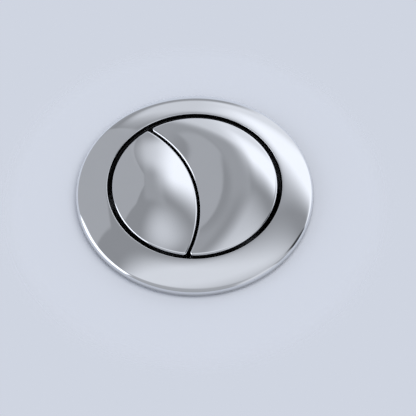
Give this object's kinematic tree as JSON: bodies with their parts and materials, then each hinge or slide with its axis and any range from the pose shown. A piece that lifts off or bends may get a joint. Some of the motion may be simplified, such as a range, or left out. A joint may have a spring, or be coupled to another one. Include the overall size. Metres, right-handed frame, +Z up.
{
  "type": "pushbutton assembly",
  "caption": "Round chrome push button for a cistern lid: a bezel around a half-flush and a full-flush cap, on a threaded sleeve with ring nut, return springs and push rods.",
  "frame": {"origin": "on the button's axis, at the top face of the lid that it is clamped in", "axes": "+Z up out of the lid along the button's axis, +X towards the larger full-flush cap"},
  "size_m": [0.073, 0.073, 0.0954],
  "materials": {
    "chrome": "bright chrome plating on moulded plastic",
    "black_plastic": "black moulded plastic, fine satin",
    "white_plastic": "white moulded plastic, satin",
    "washer_plastic": "grey soft plastic",
    "gasket_rubber": "closed-cell black rubber",
    "foot_rubber": "dark grey moulded rubber",
    "steel": "drawn stainless steel"
  },
  "bodies": {
    "housing": {"bezel_ring": "chrome", "threaded_sleeve": "black_plastic", "lid_gasket": "gasket_rubber", "nut_washer": "washer_plastic", "clamp_nut": "white_plastic", "button_carrier": "black_plastic", "half_spring": "steel", "full_spring": "steel"},
    "half_button": {"half_cap": "chrome", "half_plunger": "black_plastic", "half_cap_screws": "steel", "half_stem_clip": "steel", "half_push_rod": "white_plastic", "half_rod_nut": "white_plastic", "half_rod_foot": "foot_rubber"},
    "full_button": {"full_cap": "chrome", "full_plunger": "black_plastic", "full_cap_screws": "steel", "full_stem_clip": "steel", "full_push_rod": "white_plastic", "full_rod_nut": "white_plastic", "full_rod_foot": "foot_rubber"}
  },
  "joints": [
    {"name": "half_press", "type": "slide", "parent": "housing", "child": "half_button", "axis": [0, 0, -1], "range_m": [0, 0.0065], "stiffness_N_per_m": 350, "springref_m": -0.012, "deforming": ["half_spring"]},
    {"name": "full_press", "type": "slide", "parent": "housing", "child": "full_button", "axis": [0, 0, -1], "range_m": [0, 0.0065], "stiffness_N_per_m": 350, "springref_m": -0.012, "deforming": ["full_spring"]}
  ]
}
